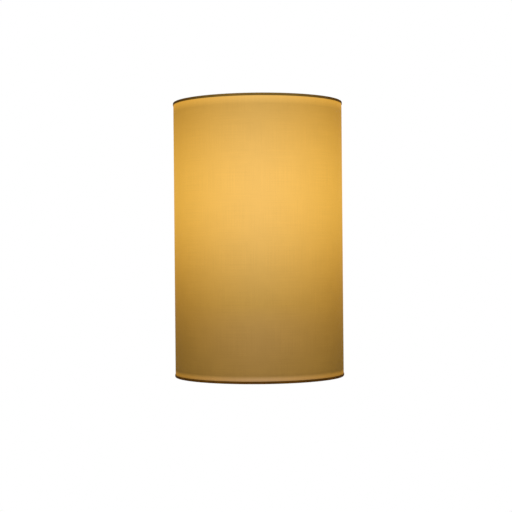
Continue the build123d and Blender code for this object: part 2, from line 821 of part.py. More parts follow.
with BuildPart() as earth_tag:
    with BuildSketch(on_plate(earth_x, earth_stud_z, washer_thickness)):
        Circle(tag_radius)
        Rectangle(
            2 * tag_barrel_radius,
            tag_radius + tag_barrel_length / 2,
            align=(Align.CENTER, Align.MIN),
        )
        Circle(stud_radius + hole_clearance, mode=Mode.SUBTRACT)
    extrude(amount=tag_thickness)
    with BuildSketch(Plane.XY.offset(tag_top_z - tag_barrel_length)):
        with Locations((earth_x, tag_barrel_y)):
            Circle(tag_barrel_radius)
    extrude(amount=tag_barrel_length)
    with BuildSketch(Plane.XY.offset(tag_top_z)):
        with Locations((earth_x, tag_barrel_y)):
            Circle(conductor_radius + conductor_clearance)
    extrude(amount=-conductor_length - conductor_clearance, mode=Mode.SUBTRACT)
write(earth_tag, "earth_tag")

with BuildPart() as earth_nut:
    with BuildSketch(on_plate(earth_x, earth_stud_z, washer_thickness + tag_thickness)):
        hexagon(nut_flats, stud_radius + fit_clearance)
    extrude(amount=nut_height)
write(earth_nut, "earth_nut")


def route_radii(points):
    """Bend radius at each corner of a route, as large as its two runs allow."""
    radii = []
    for before, corner, after in zip(points, points[1:], points[2:]):
        run_in = Vector(*corner) - Vector(*before)
        run_out = Vector(*after) - Vector(*corner)
        half_turn = radians(run_in.get_angle(run_out)) / 2
        radii.append(run_share * min(run_in.length, run_out.length) / tan(half_turn))
    return radii


lead_start_z = block_foot_z + lead_entry
# Both lamp leads drop from the terminal block, swing forwards under the arm and rise
# through the nipple to the lampholder's terminals.
live_route = [
    (live_x, pole_y, lead_start_z),
    (live_x, pole_y, -44),
    (live_x + 5, -17, -64),
    (live_x + 16, -38, -75),
    (-nipple_lead_x, -axis_depth, -76),
    (-nipple_lead_x, -axis_depth, -45.5),
    (-terminal_x, -axis_depth, -38.5),
    (-terminal_x, -axis_depth, insert_z),
]
neutral_route = [
    (neutral_x, pole_y, lead_start_z),
    (neutral_x, pole_y, -42),
    (neutral_x + 4, -18, -62),
    (neutral_x + 13, -39, -74),
    (nipple_lead_x, -axis_depth, -76),
    (nipple_lead_x, -axis_depth, -45.5),
    (terminal_x, -axis_depth, -38.5),
    (terminal_x, -axis_depth, insert_z),
]
earth_route = [
    (earth_x, pole_y, lead_start_z),
    (earth_x, pole_y, -20),
    (earth_x + 1, -10, -28),
    (earth_x, tag_barrel_y, -37),
    (earth_x, tag_barrel_y, tag_top_z),
]
for lead_name, route in (
    ("live_lead", live_route),
    ("neutral_lead", neutral_route),
    ("earth_lead", earth_route),
):
    bends = route_radii(route)
    with BuildPart() as lead:
        with BuildLine() as lead_line:
            FilletPolyline(*route, radius=bends)
        path = lead_line.wire()
        with BuildSketch(Plane(origin=path @ 0, z_dir=path % 0)):
            Circle(lead_radius)
        sweep(path=path)
        tube_ratio = lead.part.volume / (pi * lead_radius**2 * path.length)
        with BuildSketch(Plane(origin=path @ 0, z_dir=-(path % 0))):
            Circle(conductor_radius)
        extrude(amount=conductor_length)
        with BuildSketch(Plane(origin=path @ 1, z_dir=path % 1)):
            Circle(conductor_radius)
        extrude(amount=conductor_length)
    write(lead, lead_name)
    print(lead_name, "length", round(path.length, 1), "volume ratio", round(tube_ratio, 4))
    print("  bend radii", [round(radius, 1) for radius in bends])
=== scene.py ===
import json
from math import atan2, ceil, pi, radians, sqrt

import bmesh
import bpy
from mathutils import Matrix, Vector


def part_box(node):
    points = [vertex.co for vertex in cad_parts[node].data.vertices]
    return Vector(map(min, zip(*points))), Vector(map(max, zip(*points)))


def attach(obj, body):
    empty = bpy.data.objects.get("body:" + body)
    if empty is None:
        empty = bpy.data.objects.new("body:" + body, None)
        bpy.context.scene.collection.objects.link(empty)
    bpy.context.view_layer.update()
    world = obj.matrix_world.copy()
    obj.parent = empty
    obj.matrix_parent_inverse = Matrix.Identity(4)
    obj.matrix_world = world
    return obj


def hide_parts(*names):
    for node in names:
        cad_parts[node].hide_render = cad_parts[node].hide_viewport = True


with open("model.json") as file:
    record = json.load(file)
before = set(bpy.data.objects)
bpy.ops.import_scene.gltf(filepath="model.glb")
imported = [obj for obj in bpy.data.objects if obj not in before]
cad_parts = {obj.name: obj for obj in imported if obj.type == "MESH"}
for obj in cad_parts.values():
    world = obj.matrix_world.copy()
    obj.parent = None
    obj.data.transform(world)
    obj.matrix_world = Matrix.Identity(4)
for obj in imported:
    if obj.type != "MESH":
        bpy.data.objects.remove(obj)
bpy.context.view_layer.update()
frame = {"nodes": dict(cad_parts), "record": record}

slot_of = {part["node"]: part["material_slot"] for part in frame["record"]["subparts"]}

# ------------------------------------------------------------------ the shade's plan
# The cloth's outside is a circle cut flat at the back, with a small round in each corner.
# Its two edges are turned on to the flat back and end there. All lengths are in metres.
AXIS = Vector((0, -0.065, 0))
CLOTH_RADIUS = 0.100
CLOTH_THICKNESS = 0.0006
BACK_Y = -0.002
CORNER_ROUND = 0.006
TURN = 0.008
SHADE_TOP = 0.1625
FRONT_STEPS = 200
CORNER_STEPS = 8

corner_y = BACK_Y - CORNER_ROUND
corner_x = sqrt((CLOTH_RADIUS - CORNER_ROUND) ** 2 - (corner_y - AXIS.y) ** 2)
corner_angle = atan2(corner_y - AXIS.y, corner_x)
corner_turn = pi / 2 - corner_angle
front_turn = pi + 2 * corner_angle
turn_edge_x = sqrt(CLOTH_RADIUS**2 - (BACK_Y - AXIS.y) ** 2) - TURN

# ------------------------------------------------------------------ the binding tape
TAPE_THICKNESS = 0.0005
TAPE_DROP_OUTSIDE = 0.0030
TAPE_DROP_INSIDE = 0.0046
TAPE_INNER_REACH = 0.0043  # from the cloth's outside to the tape's inner drop
TAPE_FOLD_ROUND = 0.0011
cloth_edge_z = SHADE_TOP - TAPE_THICKNESS

# ------------------------------------------------------------------ the painted glow, and the weaves
PAINTED_GLOW_CENTRE_Z = 0.0548
PAINTED_GLOW_REACH = 0.1266
CLOTH_PITCH = 0.00050  # of the plain weave
RIB_PITCH = 0.0006  # of the tape's ribs

# ------------------------------------------------------------------ screwed pieces and leads
WELD_DISTANCE = 0.000005  # points closer than this are one
CUT_DISTANCE = 0.000002  # points closer than this to a cut lie on it
RIM_DISTANCE = 1e-6  # points closer than this to a cut belong to its rim
CREST_OFFSET = 0.234  # of the pitch, where a rounded thread's corners are cut
THREAD_DEPTH = 0.61  # of the pitch
COARSE_STEPS, FINE_STEPS = 24, 48  # a turn, on the studs and on the larger threads
CAP_SHEET = 0.0005
LEAD_DIAMETER = 0.0022
STRAND_ROOT_RADIUS, STRAND_TIP_RADIUS = 0.00055, 0.00052
STRAND_LENGTH = 0.0056
STRAND_REACH = 0.0022  # from the sleeve's end to the middle of the strands

# ------------------------------------------------------------------ studio
FLOOR_Z = -1.5
FLOOR_RADIUS = 5.0
LAMP_SIZE = 1.4
PHOTO_SIDE = 512  # pixels
PHOTO_FOCUS = 1271  # pixels
SENSOR = 36.0
CAMERA_DISTANCE = 1.515  # from the shade's axis
CAMERA_Z = -0.017
CAMERA_ROLL = -0.50  # degrees


def of_kind(kind, geometry):
    return [part for part in geometry if isinstance(part, kind)]


def without_faces(geometry):
    return [part for part in geometry if not isinstance(part, bmesh.types.BMFace)]


def all_of(bm):
    return [*bm.verts, *bm.edges]


def carry_round_the_frame(bm, profile):
    """Draws a profile that stands at the cloth's left back edge round to its right back edge."""
    back_run = Vector((turn_edge_x - corner_x, 0, 0))
    left, right = Vector((-corner_x, corner_y, 0)), Vector((corner_x, corner_y, 0))

    def draw_straight(geometry):
        drawn = bmesh.ops.extrude_edge_only(bm, edges=of_kind(bmesh.types.BMEdge, geometry))["geom"]
        bmesh.ops.translate(bm, verts=of_kind(bmesh.types.BMVert, drawn), vec=back_run)
        return without_faces(drawn)

    def draw_bend(geometry, centre, angle, steps):
        drawn = bmesh.ops.spin(
            bm, geom=geometry, cent=centre, axis=(0, 0, 1), dvec=(0, 0, 0),
            angle=angle, steps=steps, use_duplicate=False,
        )
        return without_faces(drawn["geom_last"])

    end = draw_straight(profile)
    end = draw_bend(end, left, corner_turn, CORNER_STEPS)
    end = draw_bend(end, AXIS, front_turn, FRONT_STEPS)
    end = draw_bend(end, right, corner_turn, CORNER_STEPS)
    draw_straight(end)


def length_along_the_cloth(x, y):
    """Distance along the cloth from the middle of its front, with x and y on or near it."""
    side = 1 if x > 0 else -1
    x = abs(x)
    front_half = CLOTH_RADIUS * front_turn / 2
    angle = atan2(y - corner_y, x - corner_x)
    if x <= corner_x and y > corner_y:
        return side * (front_half + CORNER_ROUND * corner_turn + corner_x - x)
    if angle > corner_angle and y > corner_y:
        return side * (front_half + CORNER_ROUND * (angle - corner_angle))
    return side * CLOTH_RADIUS * (atan2(y - AXIS.y, x) + pi / 2)


def lay_out_cloth_map(bm):
    """A map in metres: along the cloth and up it."""
    layer = bm.loops.layers.uv.new("cloth_map")
    for face in bm.faces:
        for loop in face.loops:
            x, y, z = loop.vert.co
            loop[layer].uv = (length_along_the_cloth(x, y), z)


def piece_from(bm, name, material, body, smooth=True):
    mesh = bpy.data.meshes.new(name)
    bm.to_mesh(mesh)
    bm.free()
    mesh.materials.append(material)
    for polygon in mesh.polygons:
        polygon.use_smooth = smooth
    piece = bpy.data.objects.new(name, mesh)
    bpy.context.scene.collection.objects.link(piece)
    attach(piece, body)
    return piece


def thicken(piece, thickness):
    """Gives a sheet its thickness, on its inner side."""
    made = piece.modifiers.new("thickness", "SOLIDIFY")
    made.thickness = thickness
    made.offset = -1


# ------------------------------------------------------------------ finishes
class Finish:
    """A material with one Principled shader, and short calls for what drives its sockets."""

    def __init__(self, name, colour, roughness, metallic=0.0, sockets=()):
        self.material = bpy.data.materials.new(name)
        self.material.use_nodes = True
        self.tree = self.material.node_tree
        self.shader = self.tree.nodes["Principled BSDF"]
        self.colour = colour
        self.set("Base Color", (*colour, 1))
        self.set("Roughness", roughness)
        self.set("Metallic", metallic)
        for socket, value in dict(sockets).items():
            self.set(socket, value)
        self.material.diffuse_color = (*colour, 1)

    def set(self, socket, value):
        self.shader.inputs[socket].default_value = value

    def to(self, socket, value):
        self.tree.links.new(value, self.shader.inputs[socket])

    def feed(self, value, socket):
        if isinstance(value, bpy.types.NodeSocket):
            self.tree.links.new(value, socket)
        else:
            socket.default_value = value

    def node(self, kind, **values):
        """A new node. Each value is one of its settings, or feeds the input of that name."""
        made = self.tree.nodes.new(kind)
        for key, value in values.items():
            if hasattr(made, key):
                setattr(made, key, value)
            else:
                self.feed(value, made.inputs[key])
        return made

    def place(self):
        return self.node("ShaderNodeTexCoord").outputs["Object"]

    def side_and_height(self):
        axes = self.node("ShaderNodeSeparateXYZ", Vector=self.place()).outputs
        return axes["X"], axes["Z"]

    def uv(self, name):
        return self.node("ShaderNodeUVMap", uv_map=name).outputs[0]

    def noise(self, vector, scale, detail=3.0, stretch=None):
        if stretch:
            vector = self.node("ShaderNodeMapping", Vector=vector, Scale=stretch).outputs[0]
        return self.node("ShaderNodeTexNoise", Vector=vector, Scale=scale, Detail=detail).outputs[0]

    def spread(self, value, low, high, to_low=0.0, to_high=1.0):
        made = self.node("ShaderNodeMapRange")
        self.feed(value, made.inputs["Value"])
        numbers = {"From Min": low, "From Max": high, "To Min": to_low, "To Max": to_high}
        for socket, number in numbers.items():
            self.feed(number, made.inputs[socket])
        return made.outputs["Result"]

    def work_out(self, operation, first, second=0.0):
        made = self.node("ShaderNodeMath", operation=operation)
        self.feed(first, made.inputs[0])
        self.feed(second, made.inputs[1])
        return made.outputs[0]

    def add(self, first, second):
        return self.work_out("ADD", first, second)

    def times(self, first, second):
        return self.work_out("MULTIPLY", first, second)

    def wave(self, run, pitch):
        """A sine along a run, with a half wave to each pitch."""
        return self.work_out("SINE", self.times(run, pi / pitch))

    def mix(self, share, first, second):
        made = self.node("ShaderNodeMix", data_type="RGBA")
        self.feed(share, made.inputs["Factor"])
        for value, socket in ((first, made.inputs[6]), (second, made.inputs[7])):
            self.feed(value if isinstance(value, bpy.types.NodeSocket) else (*value, 1), socket)
        return made.outputs[2]

    def tint(self, share, darker, lighter):
        """The base colour, from one factor of it to another."""
        low, high = shade_of(self.colour, darker), shade_of(self.colour, lighter)
        self.to("Base Color", self.mix(share, low, high))

    def bump(self, height, strength, distance):
        made = self.node("ShaderNodeBump")
        for socket, value in (("Strength", strength), ("Distance", distance), ("Height", height)):
            self.feed(value, made.inputs[socket])
        self.to("Normal", made.outputs["Normal"])

    def glow(self, share, dark, bright):
        self.to("Emission Color", self.mix(share, dark, bright))
        self.set("Emission Strength", 1.0)


def shade_of(colour, factor):
    return tuple(min(1.0, part * factor) for part in colour)


def nearness_to_lamp(finish, height):
    """One level with the lamp's globe, falling away above and below it."""
    away = finish.work_out("DIVIDE", finish.work_out("SUBTRACT", height, PAINTED_GLOW_CENTRE_Z), PAINTED_GLOW_REACH)
    return finish.work_out("EXPONENT", finish.times(finish.times(away, away), -1.0))


def woven_cloth():
    """Golden hardback cloth, fine plain weave, with the lamp's light through it painted on as a glow."""
    cloth = Finish("shade_cloth_woven", (0.245, 0.136, 0.022), 0.95, sockets={"Specular IOR Level": 0.08})
    along = cloth.uv("cloth_map")
    across = cloth.node("ShaderNodeSeparateXYZ", Vector=along).outputs
    slub_warp = cloth.noise(along, 1.0, 2.0, stretch=(2600, 22, 1))
    slub_weft = cloth.noise(along, 1.0, 2.0, stretch=(18, 2600, 1))
    slub = cloth.add(slub_warp, slub_weft)
    warp_wave, weft_wave = (cloth.wave(across[axis], CLOTH_PITCH) for axis in (0, 1))
    warp, weft = (cloth.work_out("ABSOLUTE", wave) for wave in (warp_wave, weft_wave))
    warp_on_top = cloth.spread(cloth.times(warp_wave, weft_wave), -0.4, 0.4)
    weft_on_top = cloth.work_out("SUBTRACT", 1.0, warp_on_top)
    relief = cloth.add(cloth.times(warp, warp_on_top), cloth.times(weft, weft_on_top))
    cloudy = cloth.noise(along, 45, 4.0)
    tone = cloth.add(cloth.spread(slub, 0.7, 1.3, -0.3, 0.3), cloth.spread(cloudy, 0.3, 0.7, -0.10, 0.10))
    # Darker in the dips between the threads: painted shade in the weave.
    tone = cloth.add(tone, cloth.spread(relief, 0.2, 1.0, -0.35, 0.2))
    cloth.tint(cloth.spread(tone, -1.0, 1.0), 0.72, 1.28)
    cloth.to("Roughness", cloth.spread(relief, 0.0, 1.0, 0.95, 0.78))
    cloth.bump(cloth.add(relief, cloth.times(slub, 0.6)), 0.5, 0.00012)

    # Painted glow: emission that stands in for the lamp's light through the cloth, strongest level with the
    # lamp.
    side, height = cloth.side_and_height()
    near = nearness_to_lamp(cloth, height)
    glow = cloth.spread(near, 0.0, 1.0, 0.012, 0.655)
    # Painted glow: past the liner's edge a brighter band at each end, for the light through the bare cloth.
    top_painted_glow_band = cloth.spread(height, 0.1505, 0.1580, 0.0, 0.24)
    low_painted_glow_band = cloth.spread(height, -0.1535, -0.1570, 0.0, 0.21)
    glow = cloth.add(glow, cloth.add(top_painted_glow_band, low_painted_glow_band))
    # Painted shade: the glow dims by a tenth towards the shade's sides.
    side = cloth.times(side, side)
    glow = cloth.times(glow, cloth.spread(side, 0.0016, 0.0100, 1.0, 0.90))
    glow = cloth.times(glow, cloth.spread(tone, -1.0, 1.0, 0.90, 1.10))
    # The painted glow is palest at the foot of the front, and warmer towards the sides, most of all low
    # down.
    front = cloth.mix(cloth.spread(near, 0.0, 0.35), (1.0, 0.600, 0.360), (1.0, 0.595, 0.162))
    painted_flank_glow = cloth.mix(near, (1.0, 0.440, 0.030), (1.0, 0.535, 0.070))
    round_the_side = cloth.spread(cloth.work_out("SQRT", cloth.add(side, 0.0003)), 0.0173, 0.0965)
    cloth.glow(glow, (0, 0, 0), cloth.mix(round_the_side, front, painted_flank_glow))
    return cloth.material


def binding_weave():
    """Narrow dark grosgrain tape, with fine ribs across it."""
    tape = Finish("binding_grosgrain", (0.072, 0.029, 0.002), 0.85, sockets={"Specular IOR Level": 0.02})
    along = tape.uv("cloth_map")
    run = tape.node("ShaderNodeSeparateXYZ", Vector=along).outputs[0]
    rib = tape.work_out("ABSOLUTE", tape.wave(run, RIB_PITCH))
    fray = tape.noise(along, 900)
    worn = tape.noise(along, 60, 4.0)
    # Lighter on the ribs' crests and darker between them: painted shade in the ribbing. The noise part is
    # wear.
    tone = tape.add(tape.spread(rib, 0.0, 1.0, 0.0, 0.5), tape.spread(worn, 0.35, 0.65, 0.0, 0.5))
    tape.tint(tone, 0.6, 1.7)
    tape.to("Roughness", tape.spread(fray, 0.3, 0.7, 0.6, 0.85))
    tape.bump(tape.add(rib, tape.times(fray, 0.5)), 0.6, 0.0001)

    # Painted glow on the upper tape, most in the middle of its front.
    side, height = tape.side_and_height()
    through = tape.spread(tape.times(side, side), 0.0016, 0.0075, 0.085, 0.015)
    through = tape.times(through, tape.spread(height, 0.0, 0.15))
    tape.glow(through, (0, 0, 0), (1.0, 0.78, 0.20))
    return tape.material


def surface(name, colour, roughness, metallic, cloud, grain, stretch=None):
    """A rigid finish: cloud is the scale and the least and most of its tone, grain that of its relief."""
    made = Finish(name, colour, roughness, metallic)
    place = made.place()
    cloud_scale, darker, lighter = cloud
    grain_scale, strength, depth = grain
    patches = made.noise(place, cloud_scale, 4.0)
    relief = made.noise(place, grain_scale, stretch=stretch)
    made.tint(made.spread(patches, 0.3, 0.7), darker, lighter)
    smoother, rougher = max(0.05, roughness - 0.08), roughness + 0.1
    made.to("Roughness", made.spread(made.add(patches, relief), 0.7, 1.3, smoother, rougher))
    made.bump(relief, strength, depth)
    return made


def liner_with_painted_glow():
    """Matt white film, with the lamp's light on its inner side painted on as a glow."""
    film = surface("liner_film", (0.80, 0.72, 0.55), 0.6, 0.0, (30, 0.95, 1.04), (1500, 0.15, 0.00004))
    near = nearness_to_lamp(film, film.side_and_height()[1])
    film.glow(film.spread(near, 0.0, 1.0, 0.03, 0.42), (0, 0, 0), (1.0, 0.66, 0.27))
    return film.material


def lit_globe():
    """Opal diffuser, brightest over its middle and a little darker towards its foot."""
    opal = surface("lamp_globe_opal", (0.55, 0.50, 0.42), 0.45, 0.0, (20, 0.98, 1.02), (1800, 0.1, 0.00003))
    height = opal.side_and_height()[1]
    opal.glow(opal.spread(height, 0.040, 0.066), (0.52, 0.36, 0.17), (0.62, 0.50, 0.30))
    return opal.material


# Slot, name, colour, roughness, cloud, grain.
RIGID_FINISHES = (
    ("white_enamel", "white_powder_coat", (0.78, 0.77, 0.73), 0.45, (35, 0.95, 1.03), (1300, 0.5, 0.00006)),
    ("frame_wire", "frame_wire_enamel", (0.76, 0.74, 0.68), 0.35, (90, 0.90, 1.05), (700, 0.4, 0.00008)),
    ("zinc", "zinc_plate", (0.62, 0.63, 0.64), 0.38, (220, 0.82, 1.08), (2500, 0.3, 0.00003)),
    ("brass", "turned_brass", (0.70, 0.52, 0.25), 0.3, (260, 0.75, 1.1), (3000, 0.3, 0.00002)),
    ("nickel", "nickel_plate", (0.70, 0.69, 0.65), 0.25, (180, 0.92, 1.04), (2200, 0.12, 0.00002)),
    ("holder_plastic", "moulded_holder", (0.76, 0.75, 0.71), 0.42, (25, 0.97, 1.02), (2200, 0.35, 0.00005)),
    ("holder_ceramic", "steatite", (0.80, 0.77, 0.70), 0.75, (400, 0.92, 1.04), (1600, 0.5, 0.00008)),
    ("black_rubber", "bushing_rubber", (0.025, 0.025, 0.026), 0.7, (120, 0.8, 1.9), (1500, 0.4, 0.00006)),
    ("block_plastic", "block_polyamide", (0.70, 0.68, 0.60), 0.48, (60, 0.95, 1.03), (1800, 0.3, 0.00005)),
    ("lamp_white", "lamp_housing_white", (0.80, 0.80, 0.78), 0.30, (20, 0.98, 1.01), (1400, 0.04, 0.00002)),
    ("lamp_board", "solder_mask_white", (0.80, 0.80, 0.78), 0.35, (150, 0.94, 1.02), (2500, 0.2, 0.00003)),
    ("lamp_chip", "phosphor", (0.80, 0.62, 0.16), 0.6, (900, 0.9, 1.1), (5000, 0.4, 0.00003)),
    ("lamp_driver", "driver_board", (0.04, 0.20, 0.08), 0.35, (250, 0.8, 1.2), (2600, 0.3, 0.00004)),
    ("lamp_can", "capacitor_sleeve", (0.05, 0.05, 0.07), 0.35, (200, 0.8, 1.4), (1800, 0.2, 0.00003)),
    ("lamp_ferrite", "ferrite", (0.045, 0.045, 0.05), 0.6, (500, 0.7, 1.5), (3000, 0.5, 0.00005)),
    ("lamp_insulator", "vitrite", (0.02, 0.02, 0.024), 0.12, (200, 0.8, 1.4), (600, 0.2, 0.00005)),
)
METAL_SLOTS = ("zinc", "brass", "nickel")


def make_finishes():
    finishes = {}
    for slot, name, colour, roughness, cloud, grain in RIGID_FINISHES:
        metallic = 1.0 if slot in METAL_SLOTS else 0.0
        finishes[slot] = surface(name, colour, roughness, metallic, cloud, grain).material
    finishes["lamp_opal"] = lit_globe()
    finishes["shade_lining"] = liner_with_painted_glow()
    return finishes


def dress_frame(finishes):
    """Gives each solid of the frame its finish, apart from those that a piece of the scene replaces."""
    for node, solid in frame["nodes"].items():
        material = finishes.get(slot_of[node])
        if material:
            for slot in solid.material_slots:
                slot.material = material


# ------------------------------------------------------------------ leads
def sleeve_of(name, colour):
    """Silicone insulation, a little dusty."""
    return surface(name, colour, 0.5, 0.0, (150, 0.85, 1.15), (1200, 0.3, 0.00005))


def striped_sleeve():
    """Green insulation with a yellow stripe along it."""
    sleeve = sleeve_of("sleeve_green_yellow", (0.05, 0.26, 0.045))
    around = sleeve.node("ShaderNodeSeparateXYZ", Vector=sleeve.uv("UVMap")).outputs[1]
    from_the_middle = sleeve.work_out("ABSOLUTE", sleeve.work_out("SUBTRACT", around, 0.5))
    stripe = sleeve.spread(from_the_middle, 0.19, 0.21)
    green = sleeve.shader.inputs["Base Color"].links[0].from_socket
    sleeve.to("Base Color", sleeve.mix(stripe, green, (0.80, 0.56, 0.03)))
    return sleeve


def make_lead(name, node, material, points, conductor):
    """A sleeved lead along its points, with bare strands standing out of both ends."""
    route = bpy.data.curves.new(name, "CURVE")
    route.dimensions = "3D"
    route.bevel_depth = LEAD_DIAMETER / 2
    route.bevel_resolution = 5
    route.resolution_u = 24
    route.use_fill_caps = True
    spline = route.splines.new("NURBS")
    spline.points.add(len(points) - 1)
    for point, at in zip(spline.points, points):
        point.co = (*at, 1)
    spline.order_u = 3
    spline.use_endpoint_u = True
    route.materials.append(material)
    lead = bpy.data.objects.new(name, route)
    bpy.context.scene.collection.objects.link(lead)
    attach(lead, "wall_bracket")
    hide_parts(node)
    bm = bmesh.new()
    for at, before in ((points[0], points[1]), (points[-1], points[-2])):
        at = Vector(at)
        way = (at - Vector(before)).normalized()
        strand = bmesh.ops.create_cone(
            bm, cap_ends=True, segments=16,
            radius1=STRAND_ROOT_RADIUS, radius2=STRAND_TIP_RADIUS, depth=STRAND_LENGTH,
        )["verts"]
        bmesh.ops.rotate(bm, verts=strand, matrix=way.to_track_quat("Z", "Y").to_matrix())
        bmesh.ops.translate(bm, verts=strand, vec=at + way * STRAND_REACH)
    ends = piece_from(bm, f"{name}_ends", conductor, "wall_bracket")


# ------------------------------------------------------------------ screwed pieces, frame joints, welds
def wind_thread(bm, wave, pitch, length, steps_a_turn, rounded=False):
    """Winds a wave of radius and height into a right-hand thread, up Z from 0. Gives its two rims."""
    start = -pitch * (1 + 0.5 / steps_a_turn)
    points = [bm.verts.new((radius, 0, height + start)) for radius, height in wave]
    for first, second in zip(points, points[1:]):
        bm.edges.new((first, second))
    if rounded:
        bmesh.ops.bevel(
            bm, geom=points[1:-1], offset=pitch * CREST_OFFSET, offset_type="OFFSET",
            segments=5, profile=0.5, affect="VERTICES", material=-1,
        )
    turns = ceil(length / pitch) + 2
    bmesh.ops.spin(
        bm, geom=all_of(bm), cent=(0, 0, 0), axis=(0, 0, 1), dvec=(0, 0, pitch / steps_a_turn),
        angle=2 * pi * turns, steps=turns * steps_a_turn, use_duplicate=False,
    )
    bmesh.ops.remove_doubles(bm, verts=bm.verts, dist=WELD_DISTANCE)
    rims = []
    for height, up in ((0, -1), (length, 1)):

        def on_the_rim(vert):
            return abs(vert.co.z - height) < RIM_DISTANCE

        bmesh.ops.bisect_plane(
            bm, geom=[*all_of(bm), *bm.faces], dist=CUT_DISTANCE,
            plane_co=(0, 0, height), plane_no=(0, 0, up), clear_outer=True,
        )
        cut = [vert for vert in bm.verts if on_the_rim(vert)]
        bmesh.ops.remove_doubles(bm, verts=cut, dist=WELD_DISTANCE)
        rims.append([edge for edge in bm.edges if all(on_the_rim(vert) for vert in edge.verts)])
    return rims


def draw_rim(bm, rim, radius, rise=0.0):
    """Draws a rim out to a round one, and gives the new rim."""
    drawn = bmesh.ops.extrude_edge_only(bm, edges=rim)["geom"]
    for vert in of_kind(bmesh.types.BMVert, drawn):
        spoke = vert.co.xy.normalized() * radius
        vert.co = (spoke.x, spoke.y, vert.co.z + rise)
    return [edge for edge in of_kind(bmesh.types.BMEdge, drawn) if edge.is_boundary]


def chamfer_ends(bm, length, radius):
    """Takes the crests down to the given radius at both ends, at 45 degrees."""
    for vert in bm.verts:
        most = radius + min(vert.co.z, length - vert.co.z)
        reach = vert.co.xy.length
        if reach > most:
            vert.co = (vert.co.x * most / reach, vert.co.y * most / reach, vert.co.z)


def make_screw_cap(material):
    """The lamp's cap, rolled from thin sheet: a rounded thread with a plain collar at each end."""
    pitch, mean_radius, root_radius, crest_radius = 0.003629, 0.012735, 0.0120, 0.01347
    collar, run_out, collar_radius = 0.0016, 0.0007, 0.0131
    low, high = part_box("lamp_screw_cap")
    length = high[2] - low[2] - 2 * collar
    bm = bmesh.new()
    wave = ((mean_radius, 0), (root_radius, pitch / 4), (crest_radius, 3 * pitch / 4), (mean_radius, pitch))
    for rim, up in zip(wind_thread(bm, wave, pitch, length, FINE_STEPS, rounded=True), (-1, 1)):
        flared = draw_rim(bm, rim, collar_radius, up * run_out)
        draw_rim(bm, flared, collar_radius, up * (collar - run_out))
    bmesh.ops.translate(bm, verts=bm.verts, vec=(0, AXIS.y, low[2] + collar))
    bmesh.ops.recalc_face_normals(bm, faces=bm.faces)
    cap = piece_from(bm, "lamp_cap_thread", material, "lamp")
    thicken(cap, CAP_SHEET)
    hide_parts("lamp_screw_cap")


def make_screw(bm, radius, pitch, length, place, bore=0.0):
    """A screwed rod that points out from the wall, or a tube that points up if it has a bore."""
    core = radius - THREAD_DEPTH * pitch
    wave = ((core, 0), (core, pitch / 8), (radius, pitch * 0.5), (radius, pitch * 0.62), (core, pitch))
    rod = bmesh.new()
    rims = wind_thread(rod, wave, pitch, length, FINE_STEPS if bore else COARSE_STEPS)
    chamfer_ends(rod, length, core)
    if bore:
        inner = [edge for rim in rims for edge in draw_rim(rod, rim, bore)]
        bmesh.ops.bridge_loops(rod, edges=inner)
    else:
        bmesh.ops.holes_fill(rod, edges=[edge for rim in rims for edge in rim], sides=0)
        bmesh.ops.rotate(rod, verts=rod.verts, matrix=Matrix.Rotation(pi / 2, 3, "X"))
    bmesh.ops.translate(rod, verts=rod.verts, vec=place)
    bmesh.ops.recalc_face_normals(rod, faces=rod.faces)
    mesh = bpy.data.meshes.new("screw")
    rod.to_mesh(mesh)
    rod.free()
    bm.from_mesh(mesh)
    bpy.data.meshes.remove(mesh)


def make_screws(name, node, material, screws):
    bm = bmesh.new()
    for screw in screws:
        make_screw(bm, *screw)
    piece = piece_from(bm, name, material, "wall_bracket", smooth=False)
    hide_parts(node)


def make_beads(name, material, body, places, size, squeeze):
    """Low rounded beads of metal, one at each place."""
    bm = bmesh.new()
    for place in places:
        bead = bmesh.ops.create_uvsphere(bm, u_segments=20, v_segments=12, radius=size)["verts"]
        bmesh.ops.scale(bm, verts=bead, vec=squeeze)
        bmesh.ops.translate(bm, verts=bead, vec=place)
    beads = piece_from(bm, name, material, body)


# ------------------------------------------------------------------ cloth, bindings
def make_shade_cloth(material):
    bm = bmesh.new()
    ends = [bm.verts.new((-turn_edge_x, BACK_Y, z)) for z in (-cloth_edge_z, cloth_edge_z)]
    bmesh.ops.subdivide_edges(bm, edges=[bm.edges.new(ends)], cuts=23)
    carry_round_the_frame(bm, all_of(bm))
    bmesh.ops.recalc_face_normals(bm, faces=bm.faces)
    lay_out_cloth_map(bm)
    cloth = piece_from(bm, "shade_cloth_panel", material, "shade")
    thicken(cloth, CLOTH_THICKNESS)
    return cloth


def make_binding(name, material, up):
    """Tape folded over the cloth's edge and the ring: a short drop outside, a longer one inside."""
    bm = bmesh.new()
    outside, inside = BACK_Y + TAPE_THICKNESS, BACK_Y - TAPE_INNER_REACH
    fold = [
        bm.verts.new((-turn_edge_x, y, up * z))
        for y, z in (
            (outside, SHADE_TOP - TAPE_DROP_OUTSIDE),
            (outside, SHADE_TOP),
            (inside, SHADE_TOP),
            (inside, SHADE_TOP - TAPE_DROP_INSIDE),
        )
    ]
    for first, second in zip(fold, fold[1:]):
        bm.edges.new((first, second))
    bmesh.ops.bevel(
        bm, geom=fold[1:3], offset=TAPE_FOLD_ROUND, offset_type="OFFSET",
        segments=5, profile=0.5, affect="VERTICES", material=-1,
    )
    carry_round_the_frame(bm, all_of(bm))
    bmesh.ops.recalc_face_normals(bm, faces=bm.faces)
    lay_out_cloth_map(bm)
    tape = piece_from(bm, name, material, "shade")
    thicken(tape, TAPE_THICKNESS)
    return tape


# ------------------------------------------------------------------ floor, light, camera
def brighter_of(nodes, links, first, second):
    """The larger of two values, in the world's own tree."""
    made = nodes.new("ShaderNodeMath")
    made.operation = "MAXIMUM"
    links.new(first, made.inputs[0])
    links.new(second, made.inputs[1])
    return made.outputs[0]


